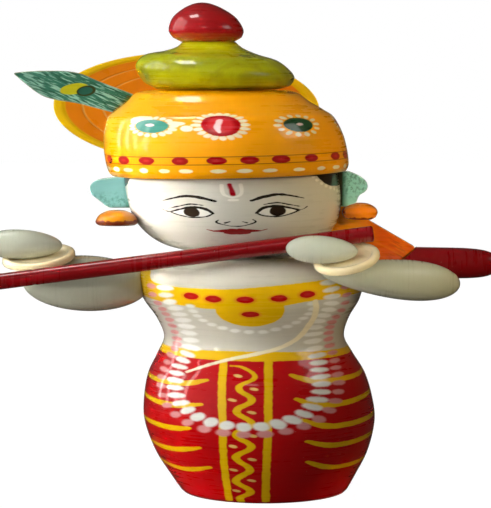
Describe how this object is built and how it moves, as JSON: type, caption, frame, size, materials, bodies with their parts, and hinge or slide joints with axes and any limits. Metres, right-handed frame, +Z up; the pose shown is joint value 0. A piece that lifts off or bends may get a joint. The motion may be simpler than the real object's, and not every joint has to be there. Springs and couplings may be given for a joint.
{
  "type": "flute-playing figure",
  "caption": "Lacquered turned-wood doll of a flute player in a turban with a feather, standing on its flat cut base.",
  "frame": {"origin": "centre of the flat base, on the surface that the doll stands on", "axes": "+Z up, +Y away from the viewer and out of the doll's back, +X to the viewer's right"},
  "size_m": [0.2083, 0.1077, 0.1959],
  "materials": {
    "body": "high-gloss lacquer; white torso, red skirt, painted ornament",
    "head": "high-gloss white lacquer with a painted face",
    "turban": "high-gloss yellow lacquer with painted ornament",
    "turban_bun": "high-gloss yellow-green lacquer",
    "turban_finial": "high-gloss red lacquer",
    "back_plaque": "high-gloss orange lacquer with a yellow rim",
    "peacock_feather": "satin green paint with light strokes and an eye",
    "ear_left": "satin turquoise paint",
    "ear_right": "satin turquoise paint",
    "earring_left": "high-gloss yellow-orange lacquer with red dabs",
    "earring_right": "high-gloss orange lacquer with red dabs",
    "hand_left": "high-gloss pale grey lacquer",
    "hand_right": "high-gloss pale grey lacquer",
    "bangle_left": "high-gloss cream lacquer",
    "bangle_right": "high-gloss cream lacquer",
    "arm_left": "high-gloss pale grey lacquer",
    "arm_right": "high-gloss pale grey lacquer",
    "flute": "high-gloss maroon lacquer",
    "scarf_board": "high-gloss orange lacquer",
    "scarf_tassel": "high-gloss maroon lacquer"
  },
  "bodies": {
    "root": {"body": "body", "head": "head", "turban": "turban", "turban_bun": "turban_bun", "turban_finial": "turban_finial", "back_plaque": "back_plaque", "peacock_feather": "peacock_feather", "ear_left": "ear_left", "ear_right": "ear_right", "earring_left": "earring_left", "earring_right": "earring_right", "hand_left": "hand_left", "hand_right": "hand_right", "bangle_left": "bangle_left", "bangle_right": "bangle_right", "arm_left": "arm_left", "arm_right": "arm_right", "flute": "flute", "scarf_board": "scarf_board", "scarf_tassel": "scarf_tassel"}
  },
  "joints": []
}
